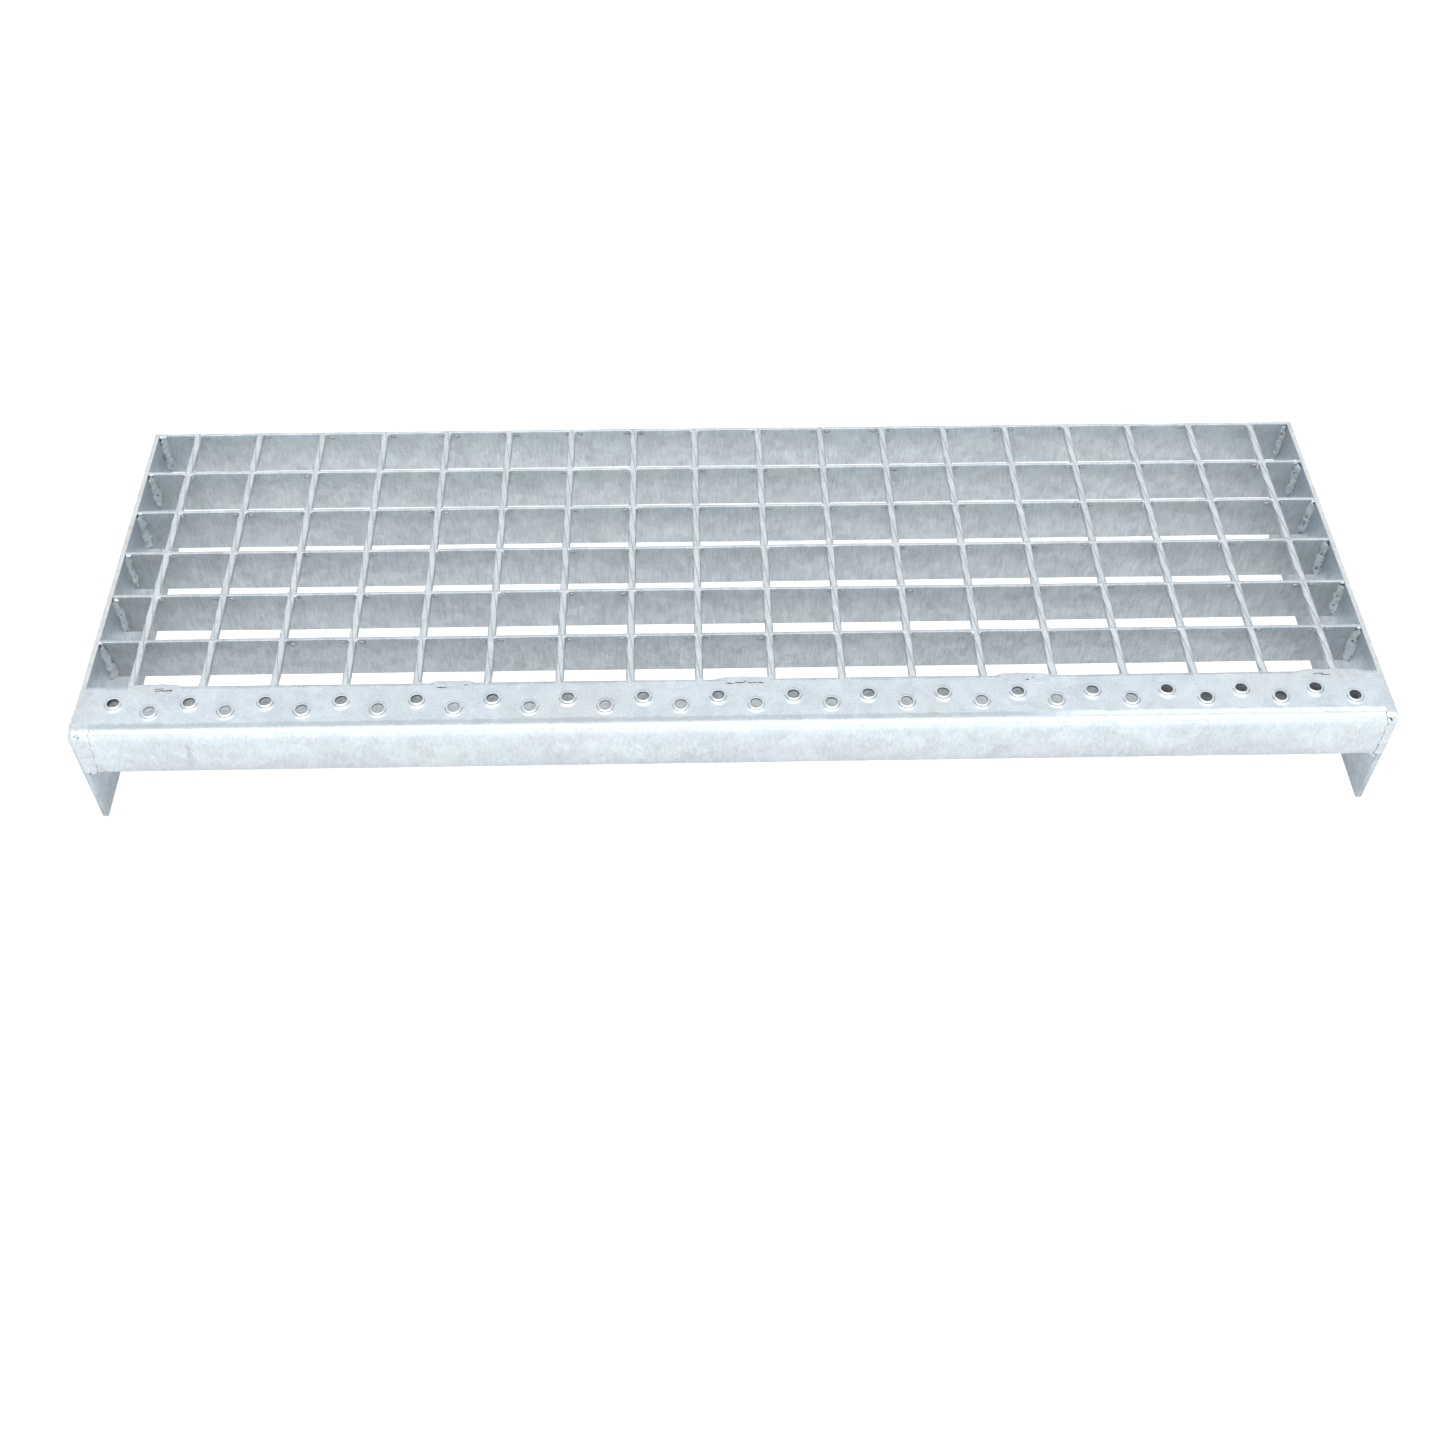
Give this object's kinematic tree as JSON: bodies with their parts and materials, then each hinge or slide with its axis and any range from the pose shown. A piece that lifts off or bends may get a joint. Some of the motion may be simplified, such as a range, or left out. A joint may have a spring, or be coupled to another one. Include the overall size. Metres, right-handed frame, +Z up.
{
  "type": "grating stair tread",
  "caption": "Galvanised steel grating stair tread with bearing bars, twisted cross bars, a perforated folded nosing and bolt-on end plates.",
  "frame": {"origin": "under the middle of the tread, on the plane of the end plates' lower edges", "axes": "+X along the tread to its right end, +Y from the nosing to the rear bearing bar, +Z up"},
  "size_m": [0.7, 0.24, 0.0718],
  "materials": {
    "galvanised_bars": "hot-dip galvanised, matt with faint spangle",
    "galvanised_cross_bars": "hot-dip galvanised, twisted bar",
    "galvanised_plates": "hot-dip galvanised rolled plate",
    "galvanised_nosing": "hot-dip galvanised folded sheet, bright",
    "galvanised_welds": "rough galvanised weld metal"
  },
  "bodies": {
    "root": {"bearing_bar_1": "galvanised_bars", "bearing_bar_2": "galvanised_bars", "bearing_bar_3": "galvanised_bars", "bearing_bar_4": "galvanised_bars", "bearing_bar_5": "galvanised_bars", "bearing_bar_6": "galvanised_bars", "bearing_bar_7": "galvanised_bars", "cross_bar_01": "galvanised_cross_bars", "cross_bar_02": "galvanised_cross_bars", "cross_bar_03": "galvanised_cross_bars", "cross_bar_04": "galvanised_cross_bars", "cross_bar_05": "galvanised_cross_bars", "cross_bar_06": "galvanised_cross_bars", "cross_bar_07": "galvanised_cross_bars", "cross_bar_08": "galvanised_cross_bars", "cross_bar_09": "galvanised_cross_bars", "cross_bar_10": "galvanised_cross_bars", "cross_bar_11": "galvanised_cross_bars", "cross_bar_12": "galvanised_cross_bars", "cross_bar_13": "galvanised_cross_bars", "cross_bar_14": "galvanised_cross_bars", "cross_bar_15": "galvanised_cross_bars", "cross_bar_16": "galvanised_cross_bars", "cross_bar_17": "galvanised_cross_bars", "cross_bar_18": "galvanised_cross_bars", "end_plate_left": "galvanised_plates", "end_plate_right": "galvanised_plates", "nosing": "galvanised_nosing", "bar_end_welds_left": "galvanised_welds", "bar_end_welds_right": "galvanised_welds", "nosing_end_weld_left": "galvanised_welds", "nosing_end_weld_right": "galvanised_welds", "nosing_stitch_welds": "galvanised_welds"}
  },
  "joints": []
}
